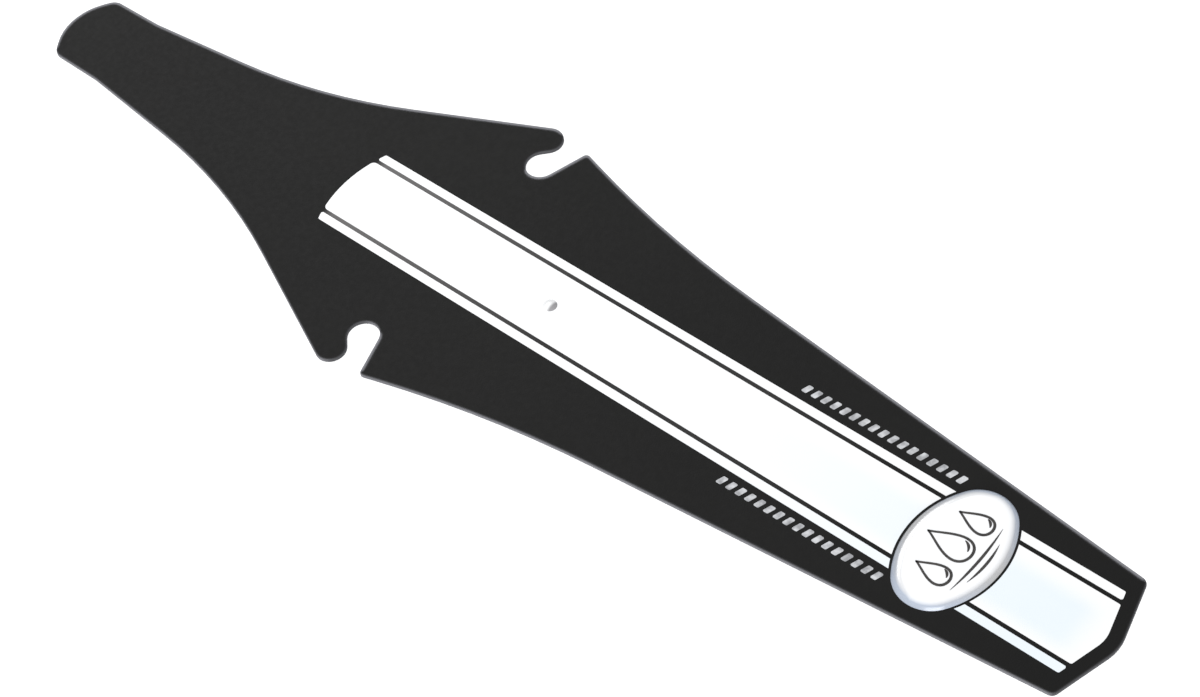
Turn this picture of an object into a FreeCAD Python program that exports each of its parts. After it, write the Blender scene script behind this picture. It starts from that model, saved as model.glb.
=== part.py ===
import FreeCAD, Part
import math
import os

# Clip-on rear mudguard for a bicycle saddle: one flat die-cut sheet of black plastic.
# The narrow tongue at -X slides in under the saddle, the two notches hook over the saddle's
# rails, and the wide part carries on behind the saddle to a blunt tail at +X.
# The sheet lies flat on its underside. All lengths are in millimetres, all angles in degrees.
# A station is a distance from the tip of the tongue; a reach is a distance from the centre line.

# Sheet
LENGTH = 355.0
THICKNESS = 1.0
EDGE_ROUND = 0.45

# Tongue
TONGUE_REACH = 12.2
NOSE_RADIUS = 15.5
NOSE_FLANK = 35.0
NOSE_CORNER_RADIUS = 4.0
TONGUE_END = 22.2
TONGUE_FLARE = 0.25
TONGUE_END_RADIUS = 20.0

# Flare from the tongue out to the hooks
NECK_LENGTH = 58.7
NECK_ANGLE = 6.2
FLARE_RADIUS = 173.0

# Notches for the saddle rails
RAIL_DIAMETER = 7.0
RAIL_CLEARANCE = 0.8
NOTCH_STATION = 148.3
NOTCH_REACH = 34.95
HOOK_RADIUS = 4.2
HOOK_THROAT = 2.5
HOOK_LEAN = 119.0

# Rear corner of each notch, and the long tapered sides
MOUTH_WIDTH = 7.7
MOUTH_DEPTH = 10.0
CORNER_RADIUS = 1.3
WAIST_STRAIGHT = 5.1
WAIST_ANGLE = 16.0
WAIST_RADIUS = 354.0

# Tail
TAIL_REACH = 18.95
TAIL_FLANK = 15.5
TAIL_RADIUS = 12.6
TAIL_CORNER_RADIUS = 2.0

# White print on the upper face
PRINT_THICKNESS = 0.1
BAND_REACH = 9.8
STRIPE_GAP = 1.2
STRIPE_WIDTH = 2.4
PRINT_START = 108.65
PRINT_START_RADIUS = 35.0
PRINT_TAIL_MARGIN = 3.7
PRINT_CORNER_RADIUS = 0.5
BAND_FRONT_RADIUS = 1.5

# Oval badge on the centre line
BADGE_TO_TAIL = 45.7
BADGE_HALF_LENGTH = 12.5
BADGE_HALF_WIDTH = 18.8
BADGE_END_RADIUS = 9.6
BADGE_HEIGHT = 1.3
BADGE_RIM_RADIUS = 3.2
BADGE_OUTLINE = 0.65

# Small pressed pip on the centre line behind the notches
PIP_STATION = 182.0
PIP_RADIUS = 1.9
PIP_HEIGHT = 0.7

NOTCH_RADIUS = RAIL_DIAMETER / 2 + RAIL_CLEARANCE
STRIPE_INNER = BAND_REACH + STRIPE_GAP
STRIPE_OUTER = STRIPE_INNER + STRIPE_WIDTH
BADGE_STATION = LENGTH - BADGE_TO_TAIL
PRINT_TOP = THICKNESS + PRINT_THICKNESS
UP = FreeCAD.Vector(0, 0, 1)
TINY = 1e-6


def point(station, reach, height=0.0):
    """A point of the model, with the origin under the middle of the sheet's length."""
    return FreeCAD.Vector(station - LENGTH / 2, reach, height)


def sine(degrees):
    return math.sin(math.radians(degrees))


def cosine(degrees):
    return math.cos(math.radians(degrees))


def tangent(degrees):
    return math.tan(math.radians(degrees))


def corner(station, reach, radius):
    """A corner of the outline where two straight sides meet, rounded to a radius."""
    return {"at": (station, reach), "disc": 0.0, "round": radius}


def disc(station, reach, radius, turn):
    """A round stretch about a given centre; turn is 1 to the left and -1 to the right."""
    return {"at": (station, reach), "disc": turn * radius, "round": 0.0}


def mirrored(steps):
    """The same steps on the other side of the centre line, walked back the other way."""
    back = []
    for step in reversed(steps):
        station, reach = step["at"]
        back.append({"at": (station, -reach), "disc": step["disc"], "round": step["round"]})
    return back


def side_between(first, second):
    """Start, end and direction of the straight side that touches two steps of an outline."""
    (x1, y1), (x2, y2) = first["at"], second["at"]
    distance = math.hypot(x2 - x1, y2 - y1)
    lean = math.asin((second["disc"] - first["disc"]) / distance)
    heading = math.atan2(y2 - y1, x2 - x1) - lean
    across = (-math.sin(heading), math.cos(heading))
    start = (x1 - first["disc"] * across[0], y1 - first["disc"] * across[1])
    end = (x2 - second["disc"] * across[0], y2 - second["disc"] * across[1])
    return start, end, heading


def turn_between(first_heading, second_heading):
    """Change of direction from one side to the next, between half a turn right and left."""
    turn = second_heading - first_heading
    return math.atan2(math.sin(turn), math.cos(turn))


def arc_round(centre, start, end, left):
    """Arc about a centre, and the point half way along it, for a turn to the left or right."""
    first = math.atan2(start[1] - centre[1], start[0] - centre[0])
    last = math.atan2(end[1] - centre[1], end[0] - centre[0])
    sweep = (last - first) % (2 * math.pi)
    if not left:
        sweep -= 2 * math.pi
    radius = math.hypot(start[0] - centre[0], start[1] - centre[1])
    middle = first + sweep / 2
    halfway = (centre[0] + radius * math.cos(middle), centre[1] + radius * math.sin(middle))
    return Part.Arc(point(*start), point(*halfway), point(*end)).toShape()


def rounding(step, side_in, side_out):
    """Where a step's arc starts and ends, and its centre."""
    if step["disc"]:
        return side_in[1], side_out[0], step["at"], step["disc"] > 0
    turn = turn_between(side_in[2], side_out[2])
    cut = step["round"] * math.tan(abs(turn) / 2)
    x, y = step["at"]
    start = (x - cut * math.cos(side_in[2]), y - cut * math.sin(side_in[2]))
    end = (x + cut * math.cos(side_out[2]), y + cut * math.sin(side_out[2]))
    offset = math.copysign(step["round"], turn)
    centre = (start[0] - offset * math.sin(side_in[2]), start[1] + offset * math.cos(side_in[2]))
    return start, end, centre, turn > 0


def outline(steps):
    """Closed wire of straight sides and tangent arcs through the steps, in order."""
    count = len(steps)
    sides = [side_between(steps[i], steps[(i + 1) % count]) for i in range(count)]
    arcs = [rounding(steps[i], sides[i - 1], sides[i]) for i in range(count)]
    edges = []
    for i in range(count):
        start, end, centre, left = arcs[i]
        edges.append(arc_round(centre, start, end, left))
        next_start = arcs[(i + 1) % count][0]
        edges.append(Part.LineSegment(point(*end), point(*next_start)).toShape())
    return Part.Wire(edges)


def plate(wire, bottom, top):
    """Flat solid with the wire as its outline, between two heights."""
    solid = Part.Face(wire).extrude(UP * (top - bottom))
    solid.translate(UP * bottom)
    return solid


def blunt_point(tip, direction, flank, radius):
    """Vertex on the centre line of two sides whose rounded end just reaches the tip."""
    return tip + direction * radius * (1 / cosine(flank) - 1)


def waist_bend(station, reach):
    """The long gentle bend that starts a short straight behind a notch's rear corner."""
    station += WAIST_STRAIGHT * cosine(WAIST_ANGLE) + WAIST_RADIUS * sine(WAIST_ANGLE)
    reach += WAIST_RADIUS * cosine(WAIST_ANGLE) - WAIST_STRAIGHT * sine(WAIST_ANGLE)
    return disc(station, reach, WAIST_RADIUS, 1)


def hook_and_notch():
    """The hook's round end, the notch's round floor, its rear corner and the bend behind it."""
    spacing = math.hypot(HOOK_RADIUS + NOTCH_RADIUS, HOOK_THROAT)
    hook_station = NOTCH_STATION + spacing * cosine(HOOK_LEAN)
    hook_reach = NOTCH_REACH + spacing * sine(HOOK_LEAN)
    rear_station = NOTCH_STATION + MOUTH_WIDTH
    rear_reach = NOTCH_REACH + MOUTH_DEPTH
    return [
        disc(hook_station, hook_reach, HOOK_RADIUS, -1),
        disc(NOTCH_STATION, NOTCH_REACH, NOTCH_RADIUS, 1),
        corner(rear_station, rear_reach, CORNER_RADIUS),
        waist_bend(rear_station, rear_reach),
    ]


def side_steps():
    """One long side of the sheet, from the tongue's corner to the tail's corner."""
    nose = blunt_point(0.0, -1, NOSE_FLANK, NOSE_RADIUS)
    tongue_end_reach = TONGUE_REACH + TONGUE_FLARE
    flare_reach = tongue_end_reach + NECK_LENGTH * tangent(NECK_ANGLE)
    tail = blunt_point(LENGTH, 1, TAIL_FLANK, TAIL_RADIUS)
    steps = [
        corner(nose + TONGUE_REACH * tangent(NOSE_FLANK), TONGUE_REACH, NOSE_CORNER_RADIUS),
        corner(TONGUE_END, tongue_end_reach, TONGUE_END_RADIUS),
        corner(TONGUE_END + NECK_LENGTH, flare_reach, FLARE_RADIUS),
    ]
    steps += hook_and_notch()
    steps.append(corner(tail - TAIL_REACH * tangent(TAIL_FLANK), TAIL_REACH, TAIL_CORNER_RADIUS))
    return steps


def sheet_outline():
    """The whole die-cut outline, up one side and back down the other."""
    side = side_steps()
    nose = corner(blunt_point(0.0, -1, NOSE_FLANK, NOSE_RADIUS), 0.0, NOSE_RADIUS)
    tail = corner(blunt_point(LENGTH, 1, TAIL_FLANK, TAIL_RADIUS), 0.0, TAIL_RADIUS)
    return outline([nose] + side + [tail] + mirrored(side))


def upper_edges(solid, height):
    """Edges of a flat solid that lie wholly at one height."""
    chosen = []
    for edge in solid.Edges:
        box = edge.BoundBox
        if abs(box.ZMin - height) < TINY and abs(box.ZMax - height) < TINY:
            chosen.append(edge)
    return chosen


def upright_edges(solid):
    """Edges of a flat solid that run straight up."""
    chosen = []
    for edge in solid.Edges:
        box = edge.BoundBox
        if box.XLength < TINY and box.YLength < TINY:
            chosen.append(edge)
    return chosen


def cap(radius, rise, base):
    """Low round cap that stands on a level base, as a slice off the top of a ball."""
    ball_radius = (radius ** 2 + rise ** 2) / (2 * rise)
    centre = point(PIP_STATION, 0, base + rise - ball_radius)
    ball = Part.makeSphere(ball_radius, centre)
    keep = Part.makeBox(4 * radius, 4 * radius, rise, point(PIP_STATION - 2 * radius, -2 * radius, base))
    return ball.common(keep)


def make_sheet():
    """The die-cut sheet, its upper edge rolled over by the cutting, with the pressed pip."""
    flat = plate(sheet_outline(), 0.0, THICKNESS)
    flat = flat.makeFillet(EDGE_ROUND, upper_edges(flat, THICKNESS))
    return flat.fuse(cap(PIP_RADIUS, PIP_HEIGHT, THICKNESS))


def print_area():
    """Region that bounds the print's ends: a round front and a rear that follows the tail."""
    reach = STRIPE_OUTER + STRIPE_GAP
    tail_radius = TAIL_RADIUS - PRINT_TAIL_MARGIN
    tail = blunt_point(LENGTH - PRINT_TAIL_MARGIN, 1, TAIL_FLANK, tail_radius)
    rear_corner = tail - reach * tangent(TAIL_FLANK)
    wire = outline([
        disc(PRINT_START + PRINT_START_RADIUS, 0.0, PRINT_START_RADIUS, -1),
        corner(rear_corner, reach, PRINT_CORNER_RADIUS),
        corner(tail, 0.0, tail_radius),
        corner(rear_corner, -reach, PRINT_CORNER_RADIUS),
    ])
    return plate(wire, THICKNESS, PRINT_TOP)


def oval(margin, bottom, top):
    """Upright solid of the badge's outline, four tangent arcs, widened all round by a margin."""
    half_length = BADGE_HALF_LENGTH + margin
    half_width = BADGE_HALF_WIDTH + margin
    end_radius = BADGE_END_RADIUS + margin
    end_centre = half_width - end_radius
    side_radius = (half_length ** 2 + end_centre ** 2 - end_radius ** 2) / (2 * (half_length - end_radius))
    share = end_radius / (side_radius - end_radius)
    x = share * (side_radius - half_length)
    y = end_centre * (1 + share)
    joints = [(x, -y), (x, y), (-x, y), (-x, -y)]
    middles = [(half_length, 0), (0, half_width), (-half_length, 0), (0, -half_width)]
    edges = []
    for i in range(4):
        places = [joints[i], middles[i], joints[(i + 1) % 4]]
        on_arc = [point(BADGE_STATION + along, across, bottom) for along, across in places]
        edges.append(Part.Arc(*on_arc).toShape())
    return Part.Face(Part.Wire(edges)).extrude(UP * (top - bottom))


def free_corners(piece, low, high):
    """Upright edges at the sides of a printed strip, at its end away from the badge."""
    badge = point(BADGE_STATION, 0).x
    chosen = []
    for edge in upright_edges(piece):
        place = edge.CenterOfMass
        on_side = min(abs(place.y - low), abs(place.y - high)) < TINY
        if on_side and abs(place.x - badge) > BADGE_HALF_LENGTH + BADGE_OUTLINE:
            chosen.append(edge)
    return chosen


def strips(low, high, area, front_radius):
    """Front and rear part of a printed strip between two reaches, kept clear of the badge."""
    bar = Part.makeBox(LENGTH, high - low, PRINT_THICKNESS, point(0, low, THICKNESS))
    clear = oval(BADGE_OUTLINE, 0.0, PRINT_TOP)
    front, rear = sorted(bar.common(area).cut(clear).Solids, key=lambda piece: piece.CenterOfMass.x)
    front = front.makeFillet(front_radius, free_corners(front, low, high))
    rear = rear.makeFillet(PRINT_CORNER_RADIUS, free_corners(rear, low, high))
    return front, rear


def make_bands(area):
    """The wide centre band, in front of the badge and behind it."""
    front, rear = strips(-BAND_REACH, BAND_REACH, area, BAND_FRONT_RADIUS)
    over_pip = cap(PIP_RADIUS + PRINT_THICKNESS, PIP_HEIGHT + PRINT_THICKNESS, THICKNESS)
    front = front.fuse(over_pip).cut(cap(PIP_RADIUS, PIP_HEIGHT, THICKNESS))
    return front, rear


def make_badge():
    """Oval badge with a soft rounded rim, seated on the upper face."""
    undercut = BADGE_RIM_RADIUS - BADGE_HEIGHT
    spread = BADGE_RIM_RADIUS - math.sqrt(BADGE_RIM_RADIUS ** 2 - undercut ** 2)
    top = THICKNESS + BADGE_HEIGHT
    bottom = top - 2 * BADGE_RIM_RADIUS
    button = oval(spread, bottom, top)
    button = button.makeFillet(BADGE_RIM_RADIUS, upper_edges(button, top))
    above = Part.makeBox(LENGTH, 4 * BADGE_HALF_WIDTH, BADGE_HEIGHT,
                         point(BADGE_STATION - LENGTH / 2, -2 * BADGE_HALF_WIDTH, THICKNESS))
    return button.common(above)


def build():
    area = print_area()
    front_band, rear_band = make_bands(area)
    right_front, right_rear = strips(STRIPE_INNER, STRIPE_OUTER, area, PRINT_CORNER_RADIUS)
    left_front, left_rear = strips(-STRIPE_OUTER, -STRIPE_INNER, area, PRINT_CORNER_RADIUS)
    return {
        "guard_sheet": make_sheet(),
        "front_band": front_band,
        "rear_band": rear_band,
        "right_front_stripe": right_front,
        "right_rear_stripe": right_rear,
        "left_front_stripe": left_front,
        "left_rear_stripe": left_rear,
        "oval_badge": make_badge(),
    }


os.makedirs("parts", exist_ok=True)
for name, shape in build().items():
    shape.exportStep("parts/" + name + ".step")
    print(name, "solids", len(shape.Solids), "valid", shape.isValid(), "volume", round(shape.Volume, 3),
          "box", shape.BoundBox)
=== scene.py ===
# %% [markdown]
# A clip-on rear mudguard
#
# This lesson dresses a flat, die-cut bicycle mudguard. The real thing is one sheet of black
# plastic with white print, two hooked notches for the saddle's rails and a raised oval badge.
# Its solids come ready made, at their real size in metres, and are never moved here. Blender
# adds what a cutter and a printer leave behind: the grain of the sheet, its pale cut edge, the
# ink, and the small printed marks.

# %% Load the solids
import math

import bpy
from mathutils import Matrix, Vector


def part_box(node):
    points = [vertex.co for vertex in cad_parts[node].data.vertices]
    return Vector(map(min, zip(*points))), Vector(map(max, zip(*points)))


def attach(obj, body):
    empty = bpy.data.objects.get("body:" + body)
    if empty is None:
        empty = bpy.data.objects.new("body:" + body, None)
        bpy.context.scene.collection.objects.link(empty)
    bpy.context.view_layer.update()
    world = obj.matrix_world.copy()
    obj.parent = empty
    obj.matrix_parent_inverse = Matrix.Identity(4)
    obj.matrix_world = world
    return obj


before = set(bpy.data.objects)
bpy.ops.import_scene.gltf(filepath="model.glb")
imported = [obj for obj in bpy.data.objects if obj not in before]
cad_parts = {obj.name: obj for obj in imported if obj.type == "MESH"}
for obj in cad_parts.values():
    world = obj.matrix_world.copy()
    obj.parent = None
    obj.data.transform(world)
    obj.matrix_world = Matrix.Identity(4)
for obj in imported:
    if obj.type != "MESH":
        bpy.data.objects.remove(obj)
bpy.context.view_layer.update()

print("solids:", sorted(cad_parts))

# %% [markdown]
# Where things are
#
# Everything added later has to sit on the sheet, so its heights and places are read from the
# solids. A printed stripe starts at the sheet's upper face and ends at the top of the ink.
# X runs from the tongue to the tail, Y across the sheet, and Z up out of the printed face.

# %% Read heights and places
MM = 0.001
SHEET_LOW, SHEET_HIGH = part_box("guard_sheet")
STRIPE_LOW, STRIPE_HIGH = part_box("right_front_stripe")
BADGE_LOW, BADGE_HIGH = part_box("oval_badge")
SHEET_SIZE = SHEET_HIGH - SHEET_LOW
SHEET_TOP = STRIPE_LOW.z
INK_HEIGHT = STRIPE_HIGH.z - STRIPE_LOW.z
BADGE_MIDDLE = (BADGE_LOW + BADGE_HIGH) / 2
BADGE_TOP = BADGE_HIGH.z
print("sheet", round(SHEET_SIZE.x / MM, 2), "by", round(SHEET_SIZE.y / MM, 2), "mm")
print("sheet top at", round(SHEET_TOP / MM, 3), "mm, ink", round(INK_HEIGHT / MM, 3), "mm")

# %% [markdown]
# The camera first
#
# A comparison with a photograph only means something from the same place, so the camera comes
# before any finish. It stands behind the tail and to the rider's left, looks down by about
# fifty degrees, and is rolled a little, as a hand-held camera is. Three things place it: where it
# stands, what it looks at, and the roll. The focal length is a share of the frame's width.

# %% Set up the camera
CAMERA_PLACE = Vector((366.5, -295.75, 571.5)) * MM
CAMERA_TARGET = Vector((24.0, -3.1, 1.0)) * MM
CAMERA_ROLL = math.radians(-11.41)
SENSOR_WIDTH = 36.0
FOCAL_PIXELS = 2886
FRAME_PIXELS = 1200
NEAR_LIMIT = 0.01


def make_camera():
    """Camera at the photograph's place, with the photograph's view."""
    data = bpy.data.cameras.new("camera")
    data.sensor_width = SENSOR_WIDTH
    data.lens = SENSOR_WIDTH * FOCAL_PIXELS / FRAME_PIXELS
    data.clip_start = NEAR_LIMIT
    camera = bpy.data.objects.new("camera", data)
    aim = (CAMERA_TARGET - CAMERA_PLACE).to_track_quat("-Z", "Y").to_matrix().to_4x4()
    roll = Matrix.Rotation(CAMERA_ROLL, 4, "Z")
    camera.matrix_world = Matrix.Translation(CAMERA_PLACE) @ aim @ roll
    bpy.context.scene.collection.objects.link(camera)
    bpy.context.scene.camera = camera
    return camera


camera = make_camera()
print("lens", round(camera.data.lens, 1), "mm")

# %% [markdown]
# Helpers for nodes
#
# Every finish is a small tree of nodes around one shader. The same few jobs come back in all of
# them: adding a node with its settings, doing a sum, mapping one range onto another, and mixing
# two colours by a share. Each job gets one helper. A share always runs from 0 to 1. The Mix node
# has several sockets of the same name, so its colour sockets are found by their place.

# %% Helpers for nodes
MIX_COLOURS = (6, 7)
MIX_RESULT = 2
OPAQUE = 1.0


def new_finish(name):
    """An empty finish: the material, its node tree and its shader."""
    material = bpy.data.materials.new(name)
    material.use_nodes = True
    return material, material.node_tree, material.node_tree.nodes["Principled BSDF"]


def add_node(tree, kind, values=None, **settings):
    """A node of one kind, with its settings and the values of its sockets."""
    made = tree.nodes.new(kind)
    for name, value in settings.items():
        setattr(made, name, value)
    for name, value in (values or {}).items():
        made.inputs[name].default_value = value
    return made


def feed(tree, value, socket):
    """Gives a socket another node's output, or else a plain value."""
    if isinstance(value, bpy.types.NodeSocket):
        tree.links.new(value, socket)
    else:
        socket.default_value = value


def calculate(tree, operation, *values):
    """One sum on one or two values, each a number or another node's output."""
    made = add_node(tree, "ShaderNodeMath", operation=operation)
    for value, socket in zip(values, made.inputs):
        feed(tree, value, socket)
    return made.outputs["Value"]


def product(tree, first, *others):
    """All the values multiplied together."""
    total = first
    for value in others:
        total = calculate(tree, "MULTIPLY", total, value)
    return total


def spread(tree, value, ends, onto=(0.0, 1.0), smooth=False):
    """The value's run between two ends, mapped onto another run."""
    kind = "SMOOTHSTEP" if smooth else "LINEAR"
    limits = dict(zip(("From Min", "From Max", "To Min", "To Max"), (*ends, *onto)))
    mapped = add_node(tree, "ShaderNodeMapRange", limits, interpolation_type=kind)
    tree.links.new(value, mapped.inputs["Value"])
    return mapped.outputs["Result"]


def blend_colours(tree, share, first, second):
    """Mixes two colours by a share; each is a colour or another node's output."""
    mix = add_node(tree, "ShaderNodeMix", data_type="RGBA")
    tree.links.new(share, mix.inputs["Factor"])
    for place, colour in zip(MIX_COLOURS, (first, second)):
        if isinstance(colour, tuple):
            colour = (*colour, OPAQUE)
        feed(tree, colour, mix.inputs[place])
    return mix.outputs[MIX_RESULT]


print("node helpers ready")

# %% [markdown]
# Helpers for surfaces
#
# A real surface is never even: its tone wanders, its gloss wanders, and it has a grain. The
# patterns use Object coordinates, which are metres here, so a scale is easy to work out: a noise
# of scale 1000 repeats about once a millimetre. A pattern is written as its scale, its detail and
# the two noise values it runs between. A grain is a list of scale, detail and real depth.

# %% Helpers for surfaces
def noise(tree, scale, detail):
    """Noise on Object coordinates, which are metres."""
    place = add_node(tree, "ShaderNodeTexCoord")
    pattern = add_node(tree, "ShaderNodeTexNoise", {"Scale": scale, "Detail": detail})
    tree.links.new(place.outputs["Object"], pattern.inputs["Vector"])
    return pattern.outputs["Fac"]


def wander(tree, pattern, onto=(0.0, 1.0)):
    """A value that wanders between two ends, as a noise pattern does."""
    scale, detail, low, high = pattern
    return spread(tree, noise(tree, scale, detail), (low, high), onto)


def roughen(tree, shader, pattern, ends):
    """Lets the roughness wander between two ends."""
    tree.links.new(wander(tree, pattern, ends), shader.inputs["Roughness"])


def raise_grain(tree, shader, grain):
    """Bumps the surface by several noises, each given as scale, detail and depth."""
    normal = None
    for scale, detail, depth in grain:
        bump = add_node(tree, "ShaderNodeBump", {"Strength": 1.0, "Distance": depth})
        tree.links.new(noise(tree, scale, detail), bump.inputs["Height"])
        if normal is not None:
            tree.links.new(normal, bump.inputs["Normal"])
        normal = bump.outputs["Normal"]
    tree.links.new(normal, shader.inputs["Normal"])


def along_axis(tree, kind, axis):
    """One component of the piece's own Object place or Normal."""
    place = add_node(tree, "ShaderNodeTexCoord")
    parts = add_node(tree, "ShaderNodeSeparateXYZ")
    tree.links.new(place.outputs[kind], parts.inputs["Vector"])
    return parts.outputs[axis]


print("surface helpers ready")

# %% [markdown]
# The pale cut edge
#
# The sheet is extruded plastic, cut by a steel die. Where the die went through, the plastic is
# stressed and turns pale, so the edge shows as a thin grey line all the way round. Part of that
# line is painted highlight, where the rolled edge would catch the light. Painting that line by
# hand would never follow the outline. A Bevel node finds it instead: it averages the surface's
# direction over a small reach, so on the level face it starts to lean just before the edge, and
# the lean says how pale the line is.
#
# In the photograph the line reaches further in on the sides that lean towards the tongue and the
# left, and is dimmer on those that face the tail. That part is painted highlight: the averaged
# direction sets how far in it reaches and how strong it is.

# %% Find the cut edge
EDGE_REACH = 1.7 * MM
EDGE_SAMPLES = 16
CUT_LEVELS = (0.94, 0.6)
CUT_SHARE = 0.75
TAIL_LEAN = (0.15, 0.65)
TAIL_SHARE = 0.35
FAR_HIGHLIGHT_SIDE = (-0.78, 0.63, 0.0)
FAR_HIGHLIGHT_LEAN = (0.02, 0.145)


def softened_direction(tree):
    """The surface's direction, averaged over the reach of the edge."""
    bevel = add_node(tree, "ShaderNodeBevel", {"Radius": EDGE_REACH}, samples=EDGE_SAMPLES)
    return bevel.outputs["Normal"]


def leans_towards(tree, direction, side):
    """How far a direction leans towards one side."""
    towards = add_node(tree, "ShaderNodeVectorMath", operation="DOT_PRODUCT")
    tree.links.new(direction, towards.inputs[0])
    towards.inputs[1].default_value = side
    return towards.outputs["Value"]


def edge_and_highlight_share(tree):
    """Pale cut plastic and painted highlight: 0 on the face, most at the cut, and from further in
    on one side.
    """
    softened = softened_direction(tree)
    parts = add_node(tree, "ShaderNodeSeparateXYZ")
    tree.links.new(softened, parts.inputs["Vector"])
    level = calculate(tree, "ABSOLUTE", parts.outputs["Z"])
    at_cut = spread(tree, level, CUT_LEVELS, (0.0, CUT_SHARE), smooth=True)
    # Painted highlight: further in on the sides that lean towards the tongue and the left, weaker
    # on those facing the tail.
    strength = spread(tree, parts.outputs["X"], TAIL_LEAN, (1.0, TAIL_SHARE))
    far_highlight = spread(tree, leans_towards(tree, softened, FAR_HIGHLIGHT_SIDE), FAR_HIGHLIGHT_LEAN, smooth=True)
    return calculate(tree, "MAXIMUM", product(tree, at_cut, strength), far_highlight)


print("edge reach", round(EDGE_REACH / MM, 2), "mm")

# %% [markdown]
# The black sheet
#
# The face is close to black, with a faint drift of tone and a fine matt grain. Between the band
# and its stripes the sheet shows as two dark lines. At the front they are grey and not black,
# and the grey thins out towards the tail.

# %% Finish of the black sheet
SHEET_DARK = (0.0086, 0.0086, 0.0083)
SHEET_LIGHT = (0.0098, 0.0097, 0.0094)
SHEET_DRIFT = (14.0, 3.0, 0.35, 0.65)
SHEET_MOTTLE = (700.0, 3.0, 0.3, 0.7)
SHEET_ROUGHNESS = (0.52, 0.58)
SHEET_SPECULAR = 0.095
SHEET_GRAIN = ((2600.0, 3.0, 0.04 * MM), (900.0, 2.0, 0.01 * MM))
# Pale cut plastic, with painted highlight along the edge.
PALE_EDGE_AND_HIGHLIGHT = (0.21, 0.21, 0.228)
GAP_GREY = (0.15, 0.145, 0.145)
GAP_REACH = (12 * MM, 11.5 * MM)
GAP_STARTS = (-67 * MM, -64 * MM)
GAP_THINS = (-60 * MM, 10 * MM)
GAP_LEFT = 0.15
GAP_ENDS = (70 * MM, 110 * MM)


def gap_grey_share(tree):
    """How grey the dark lines between the stripes are: most at their front ends, none beyond them.
    """
    along = along_axis(tree, "Object", "X")
    starts = spread(tree, along, GAP_STARTS)
    thins = spread(tree, along, GAP_THINS, (1.0, GAP_LEFT))
    ends = spread(tree, along, GAP_ENDS, (1.0, 0.0))
    across = calculate(tree, "ABSOLUTE", along_axis(tree, "Object", "Y"))
    return product(tree, starts, thins, ends, spread(tree, across, GAP_REACH))


def sheet_finish():
    """Matt black plastic with a fine grain, a pale cut edge with painted highlight, and grey gaps
    at the front.
    """
    material, tree, shader = new_finish("black_sheet")
    face = blend_colours(tree, wander(tree, SHEET_DRIFT), SHEET_DARK, SHEET_LIGHT)
    # Grey, not black, in the gaps at the front, thinning towards the tail.
    inked = blend_colours(tree, gap_grey_share(tree), face, GAP_GREY)
    # The pale edge is partly paler plastic and partly painted highlight.
    colour = blend_colours(tree, edge_and_highlight_share(tree), inked, PALE_EDGE_AND_HIGHLIGHT)
    tree.links.new(colour, shader.inputs["Base Color"])
    roughen(tree, shader, SHEET_MOTTLE, SHEET_ROUGHNESS)
    shader.inputs["Specular IOR Level"].default_value = SHEET_SPECULAR
    raise_grain(tree, shader, SHEET_GRAIN)
    return material


black_sheet = sheet_finish()
print("made", black_sheet.name)

# %% [markdown]
# The white print
#
# The band and the pinstripes are screen printed: a thick, opaque white ink pushed through a fine
# mesh. It dries smoother than the sheet and keeps a trace of the mesh, so it gets two shallow
# noises and a slightly lower roughness. Towards the tail the middle of the band and the
# left-hand stripe get a painted cool reflection, in patches, and the band's borders stay plain.
# On the tail-facing flank of the pressed pip the white gets a grey crescent of painted shade,
# as on a bump turned from the light. The surface's own normal finds that side.

# %% Finish of the white print
INK_WHITE = (0.9, 0.905, 0.91)
# Painted cool reflection on the white towards the tail.
INK_COOL_REFLECTION = (0.78, 0.85, 0.905)
# Painted shade on the pip's tail-facing flank.
INK_PIP_SHADE = (0.31, 0.305, 0.315)
INK_MOTTLE = (60.0, 3.0, 0.3, 0.7)
INK_ROUGHNESS = (0.32, 0.44)
INK_GRAIN = ((3200.0, 2.0, 0.01 * MM), (300.0, 2.0, 0.01 * MM))
COOL_START = (45 * MM, 155 * MM)
COOL_END = (164 * MM, 172 * MM)
COOL_SHIFT = 1 * MM
COOL_WIDTH = (9.5 * MM, 4 * MM)
COOL_STRIPE = (-10.4 * MM, -10.6 * MM)
STRIPE_SHARE = 0.9
COOL_PATCHES = (26.0, 2.0, 0.3, 0.6)
PATCH_SHARES = (0.8, 1.0)
PIP_SHADE_LEAN = (0.01, 0.34)


def cool_reflection_share(tree):
    """How much painted cool reflection the white gets: along the band's middle and the left-hand
    stripe, near the tail.
    """
    along = along_axis(tree, "Object", "X")
    across = along_axis(tree, "Object", "Y")
    from_middle = calculate(tree, "ABSOLUTE", calculate(tree, "ADD", across, COOL_SHIFT))
    inside = spread(tree, from_middle, COOL_WIDTH, smooth=True)
    ending = spread(tree, along, COOL_END, (1.0, 0.0), smooth=True)
    on_stripe = spread(tree, across, COOL_STRIPE, (0.0, STRIPE_SHARE))
    field = calculate(tree, "MAXIMUM", product(tree, inside, ending), on_stripe)
    patches = wander(tree, COOL_PATCHES, PATCH_SHARES)
    return product(tree, spread(tree, along, COOL_START), field, patches)


def ink_finish():
    """Opaque white screen ink, with a painted cool reflection towards the tail and painted shade on
    the pip's tail-facing flank.
    """
    material, tree, shader = new_finish("white_print")
    # Painted cool reflection towards the tail.
    tone = blend_colours(tree, cool_reflection_share(tree), INK_WHITE, INK_COOL_REFLECTION)
    # Painted shade: a grey crescent on the pip's tail-facing flank.
    pip_shade = spread(tree, along_axis(tree, "Normal", "X"), PIP_SHADE_LEAN, smooth=True)
    tree.links.new(blend_colours(tree, pip_shade, tone, INK_PIP_SHADE), shader.inputs["Base Color"])
    roughen(tree, shader, INK_MOTTLE, INK_ROUGHNESS)
    raise_grain(tree, shader, INK_GRAIN)
    return material


white_print = ink_finish()
print("made", white_print.name)
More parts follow.
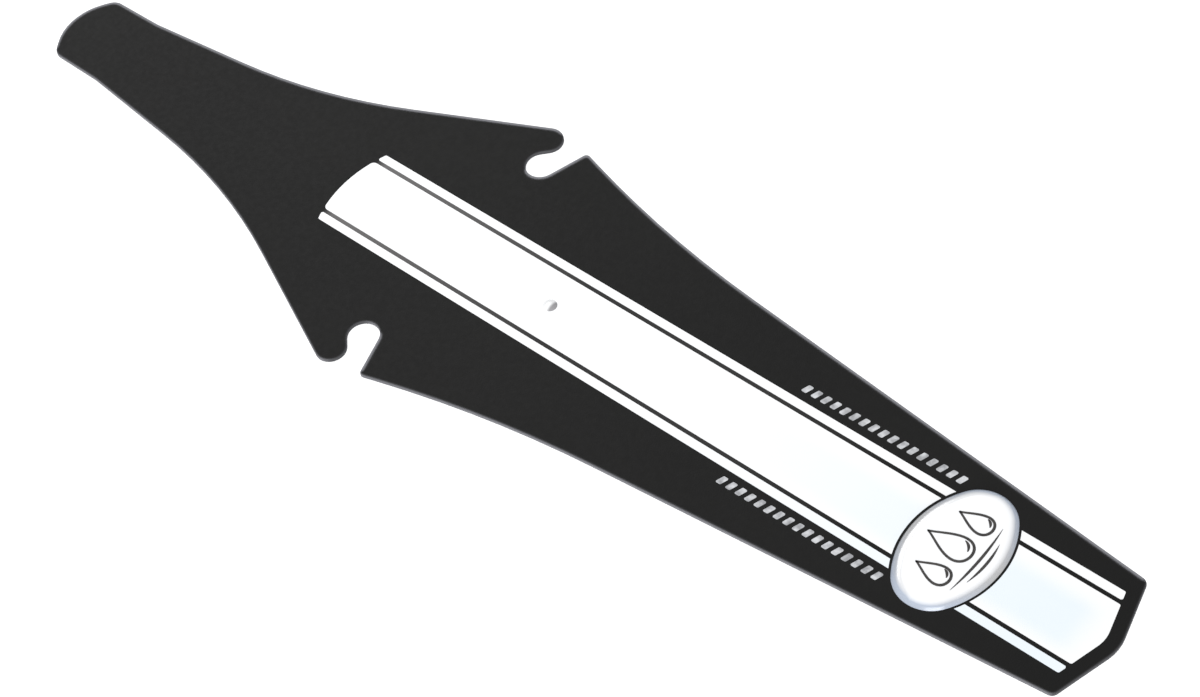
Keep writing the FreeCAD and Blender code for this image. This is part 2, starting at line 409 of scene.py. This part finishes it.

# %% [markdown]
# The badge
#
# The badge is moulded separately in glossy white plastic and glued on. Its rounded rim gets
# painted shade, greyer than its face, which is what makes it read as raised, and the two long
# ends get a cooler grey, a painted cool reflection. How far the surface leans from level sets how
# much painted shade the rim gets, and how far it leans across the sheet says which end of the rim
# is cool. Where it leans towards the tongue, the painted shade starts further in on the face.

# %% Finish of the badge
BADGE_WHITE = (0.93, 0.935, 0.95)
# Painted shade on the rim; painted cool reflection at the long ends.
BADGE_RIM_SHADE = (0.47, 0.47, 0.475)
BADGE_ENDS_REFLECTION = (0.43, 0.48, 0.57)
BADGE_MOTTLE = (90.0, 3.0, 0.3, 0.7)
BADGE_ROUGHNESS = (0.14, 0.24)
BADGE_GRAIN = ((160.0, 2.0, 0.02 * MM),)
COAT_WEIGHT = 0.3
COAT_ROUGHNESS = 0.08
RIM_LEVELS = (0.9995, 0.84)
FRONT_LEAN = (0.0, -0.06)
FRONT_SHARE = 0.3
END_LEAN = (0.05, 0.4)


def rim_shade_share(tree):
    """How much painted shade the rim gets: by its lean from level, and more towards the tongue."""
    level = calculate(tree, "ABSOLUTE", along_axis(tree, "Normal", "Z"))
    front = spread(tree, along_axis(tree, "Normal", "X"), FRONT_LEAN, (0.0, FRONT_SHARE))
    return calculate(tree, "ADD", spread(tree, level, RIM_LEVELS), front)


def badge_finish():
    """Glossy moulded white plastic, with painted shade on its rim and a painted cool reflection at
    its long ends.
    """
    material, tree, shader = new_finish("badge_white")
    across = calculate(tree, "ABSOLUTE", along_axis(tree, "Normal", "Y"))
    # Painted shade on the rim, and a painted cool reflection at the long ends.
    grey = blend_colours(tree, spread(tree, across, END_LEAN), BADGE_RIM_SHADE, BADGE_ENDS_REFLECTION)
    colour = blend_colours(tree, rim_shade_share(tree), BADGE_WHITE, grey)
    tree.links.new(colour, shader.inputs["Base Color"])
    roughen(tree, shader, BADGE_MOTTLE, BADGE_ROUGHNESS)
    shader.inputs["Coat Weight"].default_value = COAT_WEIGHT
    shader.inputs["Coat Roughness"].default_value = COAT_ROUGHNESS
    raise_grain(tree, shader, BADGE_GRAIN)
    return material


badge_white = badge_finish()
print("made", badge_white.name)

# %% [markdown]
# Inks for the small marks
#
# Two more inks are needed: a light grey for the rows of dashes beside the stripes, and a
# near-black for the drawing on the badge. Both are thin, so they wear first, and their colour
# is a little patchy.

# %% Finish of the small marks
GREY_FULL = (0.62, 0.63, 0.65)
GREY_WORN = (0.3, 0.305, 0.32)
GREY_ROUGHNESS = 0.5
DARK_FULL = (0.012, 0.01, 0.009)
DARK_WORN = (0.03, 0.025, 0.022)
DARK_ROUGHNESS = 0.35
MARK_PATCHES = (500.0, 4.0, 0.35, 0.65)
MARK_GRAIN = ((2800.0, 2.0, 0.01 * MM),)


def mark_finish(name, full, worn, roughness):
    """Thin printed ink whose colour is patchy between a full and a worn tone."""
    material, tree, shader = new_finish(name)
    colour = blend_colours(tree, wander(tree, MARK_PATCHES), full, worn)
    tree.links.new(colour, shader.inputs["Base Color"])
    shader.inputs["Roughness"].default_value = roughness
    raise_grain(tree, shader, MARK_GRAIN)
    return material


grey_ink = mark_finish("grey_ink", GREY_FULL, GREY_WORN, GREY_ROUGHNESS)
dark_ink = mark_finish("dark_ink", DARK_FULL, DARK_WORN, DARK_ROUGHNESS)
print("made", grey_ink.name, "and", dark_ink.name)

# %% [markdown]
# Dressing the solids
#
# A solid whose shape is right only needs its finish. The table below says which finish each one
# wears, and the slot of every solid is filled with it.

# %% Dress the solids
FINISHES = {"guard_sheet": black_sheet, "oval_badge": badge_white}


def dress(name, solid):
    """Puts a solid's finish in its material slots."""
    finish = FINISHES.get(name, white_print)
    for slot in solid.material_slots:
        slot.material = finish
    if not solid.material_slots:
        solid.data.materials.append(finish)


for name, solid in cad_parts.items():
    dress(name, solid)
print("dressed", len(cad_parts), "solids")

# %% [markdown]
# Rows of dashes
#
# Beside each stripe the sheet carries a row of small grey marks. Here they are plain slanted
# dashes. They repeat, so Geometry Nodes make them: one slanted outline is rounded, filled and
# thickened, a line of points says where the copies go, and Realize Instances turns them into
# real mesh. Sizes are named inputs of the tree, so a row is one call with other numbers.

# %% Build the dash tree
CORNER_STEPS = 4
WELD_REACH = 0.001 * MM
DASH_INPUTS = (
    ("Count", "NodeSocketInt"),
    ("Pitch", "NodeSocketFloat"),
    ("Length", "NodeSocketFloat"),
    ("Width", "NodeSocketFloat"),
    ("Slant", "NodeSocketFloat"),
    ("Round", "NodeSocketFloat"),
    ("Height", "NodeSocketFloat"),
    ("Start", "NodeSocketVector"),
    ("Ink", "NodeSocketMaterial"),
)


def link_all(tree, pairs):
    """Links each output to its input."""
    for output, target in pairs:
        tree.links.new(output, target)


def dash_outline(tree, given):
    """One slanted outline with rounded corners."""
    shape = add_node(tree, "GeometryNodeCurvePrimitiveQuadrilateral", mode="PARALLELOGRAM")
    fillet = add_node(tree, "GeometryNodeFilletCurve", mode="POLY")
    fillet.inputs["Count"].default_value = CORNER_STEPS
    link_all(tree, [
        (given["Length"], shape.inputs["Width"]),
        (given["Width"], shape.inputs["Height"]),
        (given["Slant"], shape.inputs["Offset"]),
        (shape.outputs["Curve"], fillet.inputs["Curve"]),
        (given["Round"], fillet.inputs["Radius"]),
    ])
    return fillet.outputs["Curve"]


def thicken(tree, outline, height):
    """A filled outline made into a closed plate: its underside, turned over, and its raised top."""
    fill = add_node(tree, "GeometryNodeFillCurve", mode="NGONS")
    extrude = add_node(tree, "GeometryNodeExtrudeMesh", {"Individual": False})
    under = add_node(tree, "GeometryNodeFlipFaces")
    join = add_node(tree, "GeometryNodeJoinGeometry")
    weld = add_node(tree, "GeometryNodeMergeByDistance", {"Distance": WELD_REACH})
    link_all(tree, [
        (outline, fill.inputs["Curve"]),
        (fill.outputs["Mesh"], extrude.inputs["Mesh"]),
        (height, extrude.inputs["Offset Scale"]),
        (fill.outputs["Mesh"], under.inputs["Mesh"]),
        (extrude.outputs["Mesh"], join.inputs["Geometry"]),
        (under.outputs["Mesh"], join.inputs["Geometry"]),
        (join.outputs["Geometry"], weld.inputs["Geometry"]),
    ])
    return weld.outputs["Geometry"]


def dash_tree():
    """Geometry Nodes tree that lays a row of equal dashes along X."""
    tree = bpy.data.node_groups.new("dash_row", "GeometryNodeTree")
    for name, kind in DASH_INPUTS:
        tree.interface.new_socket(name, in_out="INPUT", socket_type=kind)
    tree.interface.new_socket("Marks", in_out="OUTPUT", socket_type="NodeSocketGeometry")
    given = add_node(tree, "NodeGroupInput").outputs
    result = add_node(tree, "NodeGroupOutput")
    step = add_node(tree, "ShaderNodeCombineXYZ")
    line = add_node(tree, "GeometryNodeMeshLine", mode="OFFSET")
    copies = add_node(tree, "GeometryNodeInstanceOnPoints")
    real = add_node(tree, "GeometryNodeRealizeInstances")
    inked = add_node(tree, "GeometryNodeSetMaterial")
    dash = thicken(tree, dash_outline(tree, given), given["Height"])
    link_all(tree, [
        (given["Pitch"], step.inputs["X"]),
        (given["Count"], line.inputs["Count"]),
        (given["Start"], line.inputs["Start Location"]),
        (step.outputs["Vector"], line.inputs["Offset"]),
        (line.outputs["Mesh"], copies.inputs["Points"]),
        (dash, copies.inputs["Instance"]),
        (copies.outputs["Instances"], real.inputs["Geometry"]),
        (real.outputs["Geometry"], inked.inputs["Geometry"]),
        (given["Ink"], inked.inputs["Material"]),
        (inked.outputs["Geometry"], result.inputs["Marks"]),
    ])
    return tree


row_tree = dash_tree()
print("tree inputs:", [name for name, _ in DASH_INPUTS])

# %% [markdown]
# A tree only becomes a piece when an object runs it. The values go in by each socket's
# identifier before the object is first evaluated. The evaluated result is then copied into a
# plain mesh, and the object that carried the modifier is removed, so that nothing is left live.

# %% Run the tree for both rows
def run_tree(name, tree, values):
    """A plain mesh object made by one run of a tree with the given values."""
    carrier = bpy.data.objects.new(name + "_carrier", bpy.data.meshes.new(name + "_carrier"))
    bpy.context.scene.collection.objects.link(carrier)
    modifier = carrier.modifiers.new("run", "NODES")
    modifier.node_group = tree
    for item in tree.interface.items_tree:
        if item.in_out == "INPUT" and item.name in values:
            modifier[item.identifier] = values[item.name]
    evaluated = carrier.evaluated_get(bpy.context.evaluated_depsgraph_get())
    mesh = bpy.data.meshes.new_from_object(evaluated)
    bpy.data.objects.remove(carrier)
    piece = bpy.data.objects.new(name, mesh)
    bpy.context.scene.collection.objects.link(piece)
    return piece


ROW_FIRST = 74.6 * MM
ROW_LAST = 121.4 * MM
ROW_COUNT = 17
ROW_PITCH = (ROW_LAST - ROW_FIRST) / (ROW_COUNT - 1)
ROW_REACHES = {"right_dash_row": 17.0 * MM, "left_dash_row": -16.6 * MM}
DASH_LENGTH = 1.6 * MM
DASH_WIDTH = 2.5 * MM
DASH_SLANT = 0.9 * MM
DASH_ROUND = 0.35 * MM
DASH_HEIGHT = INK_HEIGHT / 2


def dash_row(name, reach):
    """One row of slanted dashes on the sheet, at a distance from the centre line."""
    piece = run_tree(name, row_tree, {
        "Count": ROW_COUNT,
        "Pitch": ROW_PITCH,
        "Length": DASH_LENGTH,
        "Width": DASH_WIDTH,
        "Slant": DASH_SLANT,
        "Round": DASH_ROUND,
        "Height": DASH_HEIGHT,
        "Start": (ROW_FIRST, reach, SHEET_TOP),
        "Ink": grey_ink,
    })
    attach(piece, "root")
    return piece


for name, reach in ROW_REACHES.items():
    row = dash_row(name, reach)
    print(row.name, "faces", len(row.data.polygons))

# %% [markdown]
# The drawing on the badge
#
# The badge carries a small line drawing in dark ink. Here it is a plain motif that suits a
# mudguard, three drops of water above two ripples. A pen line is a ribbon that swells and thins,
# so each line is a row of points with a half-width at each, and the ribbon's two sides are set
# off along the normal. A drop is a formula: a circle whose far side is drawn out to a point.

# %% Helpers for drawn lines
LINE_STEPS = 48
LINE_HEIGHT = 0.06 * MM
RAIL_COUNT = 4


def ribbon_sides(points, widths, closed):
    """The left and right side of a line of points, set off by the half-width at each."""
    left, right = [], []
    count = len(points)
    for i, here in enumerate(points):
        before = points[i - 1] if i or closed else here
        after = points[(i + 1) % count] if i + 1 < count or closed else here
        along = (after - before).normalized()
        across = Vector((-along.y, along.x)) * widths[i]
        left.append(here + across)
        right.append(here - across)
    return left, right


def ribbon_faces(count, closed):
    """Faces of a ribbon with a square section, whose four rails are laid one after another."""
    rails = [range(k * count, (k + 1) * count) for k in range(RAIL_COUNT)]
    faces = []
    for i in range(count if closed else count - 1):
        j = (i + 1) % count
        for here, beside in zip(rails, rails[1:] + rails[:1]):
            faces.append((here[i], here[j], beside[j], beside[i]))
    if not closed:
        faces.append(tuple(rail[0] for rail in rails))
        faces.append(tuple(rail[count - 1] for rail in reversed(rails)))
    return faces


def ribbon(points, widths, closed, base):
    """Corner points and faces of one raised line."""
    left, right = ribbon_sides(points, widths, closed)
    low, high = base, base + LINE_HEIGHT
    rails = [(right, low), (right, high), (left, high), (left, low)]
    corners = [(p.x, p.y, z) for side, z in rails for p in side]
    return corners, ribbon_faces(len(points), closed)


print("line helpers ready")

# %% Lines of the motif
DROP_LINE = 0.36 * MM
RIPPLE_LINE = 0.34 * MM
DROPS = (
    (Vector((-1.6, 0.0)) * MM, 12.5 * MM, 5.0 * MM),
    (Vector((-0.2, 8.6)) * MM, 9.5 * MM, 3.8 * MM),
    (Vector((-0.2, -8.6)) * MM, 9.5 * MM, 3.8 * MM),
)
DROP_POINT = 1.6
DROP_TAPER = 0.3
RIPPLES = ((6.2 * MM, 10.5 * MM), (8.1 * MM, 6.5 * MM))
RIPPLE_SAG = 0.7 * MM
RIPPLE_SWELL = 1.05
GLINT_STEPS = LINE_STEPS // 3
GLINT_SHARE = 0.55
GLINT_SHIFT = 0.17
GLINT_START = 10
GLINT_SPAN = 70
GLINT_TAPER = 0.1


def drop_line(centre, length, radius):
    """Closed outline of a drop whose point looks forwards and whose belly looks to the tail."""
    points, widths = [], []
    for i in range(LINE_STEPS):
        turn = 2 * math.pi * i / LINE_STEPS
        belly = math.sin(turn / 2) ** DROP_POINT
        along = -length / 2 * math.cos(turn)
        points.append(centre + Vector((along, radius * math.sin(turn) * belly)))
        widths.append(DROP_LINE * (1 - DROP_TAPER * (1 - belly)))
    return points, widths, True


def glint_line(centre, length, radius):
    """Short curved stroke inside a drop's belly."""
    points, widths = [], []
    for i in range(GLINT_STEPS + 1):
        share = i / GLINT_STEPS
        turn = math.radians(GLINT_START + GLINT_SPAN * share)
        out = Vector((math.cos(turn), math.sin(turn))) * radius * GLINT_SHARE
        points.append(centre + Vector((length * GLINT_SHIFT, 0)) + out)
        swell = GLINT_TAPER + (1 - 2 * GLINT_TAPER) * share
        widths.append(DROP_LINE * math.sin(math.pi * swell))
    return points, widths, False


def ripple_line(along, half_width):
    """Open curve across the badge that sags towards the tail and thins at its ends."""
    points, widths = [], []
    for i in range(LINE_STEPS + 1):
        share = 2 * i / LINE_STEPS - 1
        points.append(Vector((along + RIPPLE_SAG * (1 - share ** 2), half_width * share)))
        widths.append(RIPPLE_LINE * (RIPPLE_SWELL - share ** 2))
    return points, widths, False


lines = [drop_line(*drop) for drop in DROPS]
lines += [glint_line(*drop) for drop in DROPS]
lines += [ripple_line(*ripple) for ripple in RIPPLES]
print("lines in the motif:", len(lines))

# %% Raise the motif on the badge
def motif(name, drawn):
    """One mesh of all the drawn lines, raised on the badge's face."""
    middle = Vector((BADGE_MIDDLE.x, BADGE_MIDDLE.y))
    corners, faces = [], []
    for points, widths, closed in drawn:
        more, sides = ribbon([middle + p for p in points], widths, closed, BADGE_TOP)
        faces += [tuple(len(corners) + i for i in side) for side in sides]
        corners += more
    mesh = bpy.data.meshes.new(name)
    mesh.from_pydata(corners, [], faces)
    mesh.materials.append(dark_ink)
    piece = bpy.data.objects.new(name, mesh)
    bpy.context.scene.collection.objects.link(piece)
    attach(piece, "root")
    return piece


badge_motif = motif("badge_motif", lines)
print(badge_motif.name, "faces", len(badge_motif.data.polygons))

# %% [markdown]
# The studio
#
# The sheet lies on a pale light table under soft light. The floor reaches far beyond the frame,
# so no horizon shows, and its own weak glow washes out most of the shadow, as a light table's
# does. A black sheet shows mostly what it mirrors. From the camera's place it mirrors the side
# beyond the tongue, so a large soft lamp stands there, and the sheet greys towards the tongue. A
# second one stands behind the tail, on the camera's side, for the near edges and the badge's rim.

# %% Floor
FLOOR_REACH = 6.0
FLOOR_GAP = 0.01 * MM
FLOOR_PALE = (0.95, 0.95, 0.95)
FLOOR_SHADE = (0.93, 0.93, 0.93)
FLOOR_PATCHES = (3.0, 2.0)
FLOOR_ROUGHNESS = 0.9
FLOOR_SPECULAR = 0.1
FLOOR_GLOW = 0.45
GLOW_COLOUR = (1.0, 1.0, 1.0)


def make_floor():
    """Pale light table, a hair below the sheet's underside."""
    sides = ((-1, -1), (1, -1), (1, 1), (-1, 1))
    corners = [(FLOOR_REACH * x, FLOOR_REACH * y, -FLOOR_GAP) for x, y in sides]
    mesh = bpy.data.meshes.new("floor")
    mesh.from_pydata(corners, [], [(0, 1, 2, 3)])
    material, tree, shader = new_finish("floor_pale")
    colour = blend_colours(tree, noise(tree, *FLOOR_PATCHES), FLOOR_PALE, FLOOR_SHADE)
    tree.links.new(colour, shader.inputs["Base Color"])
    shader.inputs["Roughness"].default_value = FLOOR_ROUGHNESS
    shader.inputs["Specular IOR Level"].default_value = FLOOR_SPECULAR
    shader.inputs["Emission Color"].default_value = (*GLOW_COLOUR, OPAQUE)
    shader.inputs["Emission Strength"].default_value = FLOOR_GLOW
    mesh.materials.append(material)
    floor = bpy.data.objects.new("floor", mesh)
    bpy.context.scene.collection.objects.link(floor)
    return floor


floor = make_floor()
print("floor", floor.dimensions.x, "m wide")

# %% Lamps and sky
KEY_PLACE = Vector((-1.92, 1.02, 1.93))
KEY_SIZE = 1.4
KEY_POWER = 37.0
FILL_PLACE = Vector((1.5, -1.7, 1.1))
FILL_SIZE = 1.6
FILL_POWER = 56.0
SKY_COLOUR = (0.98, 0.99, 1.0)
SKY_BRIGHT = 0.5


def soft_lamp(name, place, size, power):
    """Square soft lamp that looks at the sheet's middle."""
    data = bpy.data.lights.new(name, "AREA")
    data.size = size
    data.energy = power
    lamp = bpy.data.objects.new(name, data)
    aim = (-place).to_track_quat("-Z", "Y").to_matrix().to_4x4()
    lamp.matrix_world = Matrix.Translation(place) @ aim
    bpy.context.scene.collection.objects.link(lamp)
    return lamp


def make_sky():
    """Even pale light from all round."""
    world = bpy.data.worlds.new("studio")
    world.use_nodes = True
    background = world.node_tree.nodes["Background"]
    background.inputs["Color"].default_value = (*SKY_COLOUR, OPAQUE)
    background.inputs["Strength"].default_value = SKY_BRIGHT
    bpy.context.scene.world = world


key = soft_lamp("key", KEY_PLACE, KEY_SIZE, KEY_POWER)
fill = soft_lamp("fill", FILL_PLACE, FILL_SIZE, FILL_POWER)
make_sky()
bpy.context.scene.view_settings.view_transform = "Standard"
print("lamps:", key.name, KEY_POWER, "W,", fill.name, FILL_POWER, "W")
